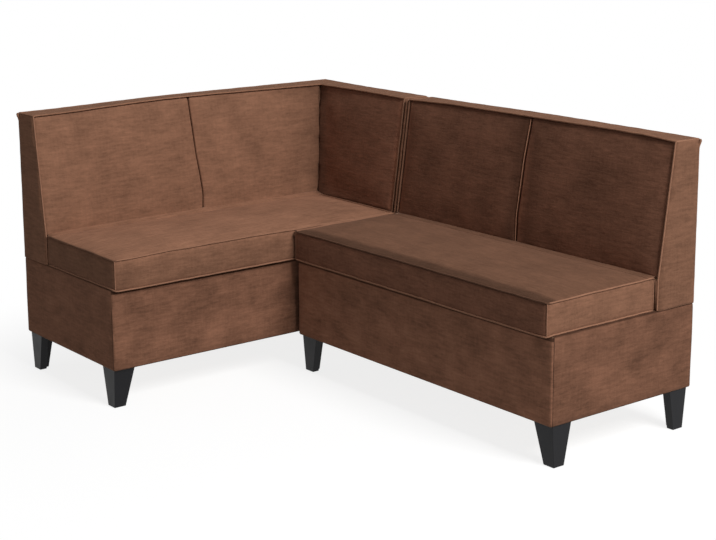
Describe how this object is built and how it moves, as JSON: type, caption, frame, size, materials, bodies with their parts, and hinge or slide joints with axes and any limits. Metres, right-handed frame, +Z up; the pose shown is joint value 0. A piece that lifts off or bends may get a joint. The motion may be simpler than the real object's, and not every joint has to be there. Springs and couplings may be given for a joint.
{
  "type": "corner storage bench",
  "caption": "Upholstered corner bench: a corner unit with a return back and a straight unit, with cushioned lids hinged over storage boxes and tapered black corner feet.",
  "frame": {"origin": "middle of the bench's floor area, at floor level", "axes": "+Z up; +Y towards the wall behind the corner unit; +X towards the wall behind the return and the straight unit"},
  "size_m": [1.28, 1.784, 0.876],
  "materials": {
    "fabric": "brown flat-woven velour with fine slubs, same-fabric welts",
    "plywood": "raw plywood, hidden inside",
    "timber": "planed softwood, hidden inside",
    "foot": "black satin",
    "steel": "zinc-plated",
    "rubber": "matt black"
  },
  "bodies": {
    "bench": {"corner_bottom_panel": "plywood", "corner_front_panel": "plywood", "corner_left_panel": "plywood", "corner_rear_panel": "plywood", "corner_deck_panel": "plywood", "corner_base_cover": "fabric", "corner_foot_front_left": "foot", "corner_foot_front_right": "foot", "corner_foot_rear_left": "foot", "corner_foot_rear_right": "foot", "corner_hinge_fixed_leaf": "steel", "corner_lid_buffer_left": "rubber", "corner_lid_buffer_right": "rubber", "corner_hinge_rail": "timber", "corner_back_board": "plywood", "corner_back_pad_left": "fabric", "corner_back_pad_right": "fabric", "corner_back_rib_left": "plywood", "corner_back_rib_middle": "plywood", "corner_back_top_rail": "timber", "corner_back_cover": "fabric", "corner_return_panel": "plywood", "corner_return_rail": "timber", "corner_return_board": "plywood", "corner_return_pad": "fabric", "corner_return_rib_end": "plywood", "straight_bottom_panel": "plywood", "straight_front_panel": "plywood", "straight_left_panel": "plywood", "straight_rear_panel": "plywood", "straight_deck_panel": "plywood", "straight_base_cover": "fabric", "straight_foot_front_left": "foot", "straight_foot_front_right": "foot", "straight_foot_rear_left": "foot", "straight_foot_rear_right": "foot", "straight_hinge_fixed_leaf": "steel", "straight_lid_buffer_left": "rubber", "straight_lid_buffer_right": "rubber", "straight_hinge_rail": "timber", "straight_back_board": "plywood", "straight_back_pad_left": "fabric", "straight_back_pad_right": "fabric", "straight_back_rib_left": "plywood", "straight_back_rib_middle": "plywood", "straight_back_top_rail": "timber", "straight_back_cover": "fabric", "straight_right_panel": "plywood", "straight_back_rib_right": "plywood", "link_plate_front": "steel", "link_plate_rear": "steel"},
    "corner_lid": {"corner_lid_panel": "plywood", "corner_lid_rail": "timber", "corner_seat_cushion": "fabric", "corner_hinge_lid_leaf": "steel"},
    "straight_lid": {"straight_lid_panel": "plywood", "straight_lid_rail": "timber", "straight_seat_cushion": "fabric", "straight_hinge_lid_leaf": "steel"}
  },
  "joints": [
    {"name": "corner_lid_hinge", "type": "hinge", "parent": "bench", "child": "corner_lid", "pos_m": [-0.079, 0.729, 0.476], "axis": [-1, 0, 0], "range_deg": [0, 80]},
    {"name": "straight_lid_hinge", "type": "hinge", "parent": "bench", "child": "straight_lid", "pos_m": [0.477, -0.305, 0.476], "axis": [0, 1, 0], "range_deg": [0, 80]}
  ]
}
